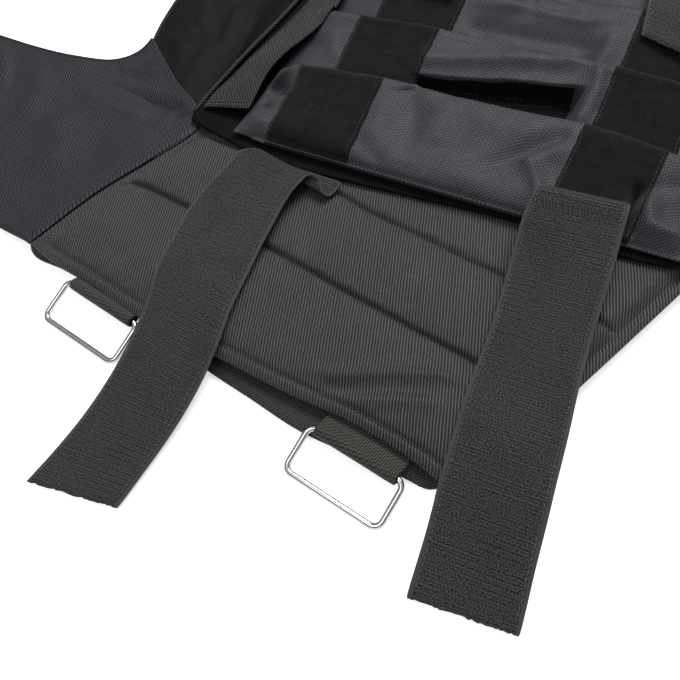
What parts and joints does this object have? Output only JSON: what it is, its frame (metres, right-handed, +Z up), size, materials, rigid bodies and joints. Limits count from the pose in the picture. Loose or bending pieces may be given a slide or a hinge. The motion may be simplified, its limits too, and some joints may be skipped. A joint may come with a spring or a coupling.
{
  "type": "weighted vest",
  "caption": "Black nylon weighted vest lying empty: padded lower front, pocket rows with loop patches, hook straps and steel rings.",
  "frame": {"origin": "middle of the underside of the bounding box, on the surface that the vest lies on", "axes": "+X along the pocket rows to the right of the front, +Y from the hem towards the neck, +Z up from the surface"},
  "size_m": [0.63, 0.5288, 0.0393],
  "materials": {
    "nylon_rib": "ribbed coated nylon, black",
    "nylon_pocket": "oxford weave nylon, black with a soft shine",
    "nylon_side": "plain coated nylon, black",
    "loop_tape": "plush loop tape, matte black",
    "hook_tape": "hook tape with fine cross lines, black",
    "webbing": "coarse basket weave webbing, black",
    "ring_metal": "polished plated steel wire"
  },
  "bodies": {
    "vest": {"back_panel": "nylon_side", "lower_panel": "nylon_rib", "front_body": "nylon_rib", "side_piece_left": "nylon_side", "wing_left": "nylon_side", "shoulder_left": "nylon_side", "side_strip_left": "nylon_rib", "hook_strap_left": "hook_tape", "top_strap_left": "hook_tape", "ring_loop_left": "webbing", "loop_patch_left_1": "loop_tape", "loop_patch_left_2": "loop_tape", "loop_patch_left_3": "loop_tape", "loop_patch_left_4": "loop_tape", "side_piece_right": "nylon_side", "wing_right": "nylon_side", "shoulder_right": "nylon_side", "side_strip_right": "nylon_rib", "hook_strap_right": "hook_tape", "top_strap_right": "hook_tape", "ring_loop_right": "webbing", "loop_patch_right_1": "loop_tape", "loop_patch_right_2": "loop_tape", "loop_patch_right_3": "loop_tape", "loop_patch_right_4": "loop_tape", "pocket_row_1": "nylon_pocket", "pocket_row_2": "nylon_pocket", "pocket_row_3": "nylon_pocket", "pocket_row_4": "nylon_pocket"},
    "ring_left": {"ring_left": "ring_metal"},
    "ring_right": {"ring_right": "ring_metal"}
  },
  "joints": [
    {"name": "ring_left_swing", "type": "hinge", "parent": "vest", "child": "ring_left", "pos_m": [-0.0651, -0.1623, 0.008], "axis": [-0.9833, 0.1822, 0], "range_deg": [0, 110]},
    {"name": "ring_right_swing", "type": "hinge", "parent": "vest", "child": "ring_right", "pos_m": [0.1036, -0.1879, 0.008], "axis": [-0.9863, 0.165, 0], "range_deg": [0, 150]}
  ]
}
